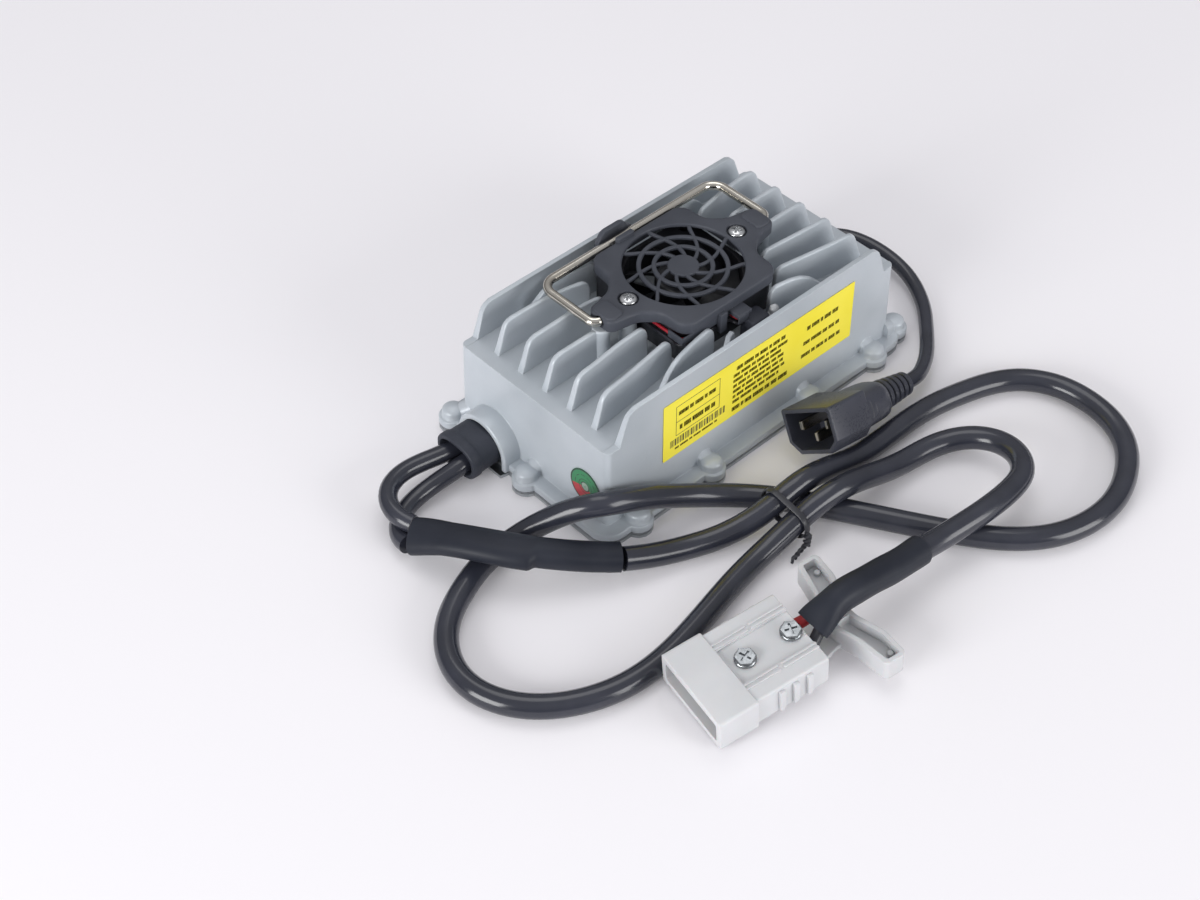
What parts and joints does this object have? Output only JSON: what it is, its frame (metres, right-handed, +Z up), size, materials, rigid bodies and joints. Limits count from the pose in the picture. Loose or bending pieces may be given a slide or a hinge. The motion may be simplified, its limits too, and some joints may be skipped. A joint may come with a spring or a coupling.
{
  "type": "forklift battery charger",
  "caption": "Fan-cooled battery charger in a finned cast housing, with a bail handle, a mains inlet lead and an output lead ending in a two-pole battery connector.",
  "frame": {"origin": "middle of the flat underside of the base plate", "axes": "+Z up through the fan; +X along the housing from the output gland to the mains gland; the rating label faces -Y"},
  "size_m": [0.2938, 0.224, 0.0652],
  "materials": {
    "cast_paint": "satin bluish grey paint on cast aluminium",
    "zinc_steel": "zinc plated sheet and screws",
    "bright_steel": "bright nickel plated wire and screws",
    "black_plastic": "dark grey moulded plastic, fine grain",
    "black_rubber": "matt black rubber",
    "cord_jacket": "semi-gloss black vinyl",
    "grey_nylon": "light grey moulded nylon",
    "label_film": "printed yellow film",
    "sticker_film": "printed round film",
    "red_wire": "red vinyl insulation",
    "clear_lens": "clear moulded lens",
    "board_laminate": "green laminate",
    "ferrite": "pressed ferrite",
    "winding_tape": "yellow tape over windings",
    "copper_winding": "enamelled copper wire",
    "capacitor_can": "sleeved aluminium can",
    "bare_aluminium": "mill finish",
    "fuse_tube": "clear tube"
  },
  "bodies": {
    "charger": {"ac_cord": "cord_jacket", "ac_plug": "black_rubber", "base_gasket": "black_rubber", "base_plate": "zinc_steel", "base_screw_01": "zinc_steel", "base_screw_02": "zinc_steel", "base_screw_03": "zinc_steel", "base_screw_04": "zinc_steel", "base_screw_05": "zinc_steel", "base_screw_06": "zinc_steel", "base_screw_07": "zinc_steel", "base_screw_08": "zinc_steel", "base_screw_09": "zinc_steel", "base_screw_10": "zinc_steel", "base_screw_11": "zinc_steel", "base_screw_12": "zinc_steel", "bulk_capacitor_1": "capacitor_can", "bulk_capacitor_2": "capacitor_can", "charge_lamp": "clear_lens", "circuit_board": "board_laminate", "conductor_black": "cord_jacket", "conductor_red": "red_wire", "connector_bolt_1": "zinc_steel", "connector_bolt_2": "zinc_steel", "connector_handle": "grey_nylon", "connector_housing": "grey_nylon", "connector_sleeve": "black_rubber", "contact_1": "bright_steel", "contact_2": "bright_steel", "cord_tie": "cord_jacket", "cover_screw_1": "bright_steel", "cover_screw_2": "bright_steel", "dc_cord": "cord_jacket", "dc_core_a": "cord_jacket", "dc_core_b": "cord_jacket", "fan_cover": "black_plastic", "fan_frame": "black_plastic", "fan_lead_black": "cord_jacket", "fan_lead_red": "red_wire", "fan_lead_seal": "black_rubber", "fan_stator": "copper_winding", "heat_bar": "bare_aluminium", "housing": "cast_paint", "line_choke": "copper_winding", "line_fuse": "fuse_tube", "mains_gland": "black_rubber", "output_capacitor": "capacitor_can", "output_choke": "copper_winding", "output_gland": "black_rubber", "plug_pin_earth": "bright_steel", "plug_pin_line": "bright_steel", "plug_pin_neutral": "bright_steel", "power_transistor": "black_plastic", "rating_label": "label_film", "round_sticker": "sticker_film", "splice_sleeve": "black_rubber", "transformer_core": "ferrite", "transformer_winding": "winding_tape"},
    "bail": {"carry_handle": "bright_steel"},
    "rotor": {"fan_rotor": "black_plastic"}
  },
  "joints": [
    {"name": "bail_hinge", "type": "hinge", "parent": "charger", "child": "bail", "pos_m": [0, 0, 0.0617], "axis": [1, 0, 0], "range_deg": [0, 175]},
    {"name": "fan_spin", "type": "hinge", "parent": "charger", "child": "rotor", "pos_m": [0, 0, 0.0509], "axis": [0, 0, 1], "continuous": true}
  ]
}
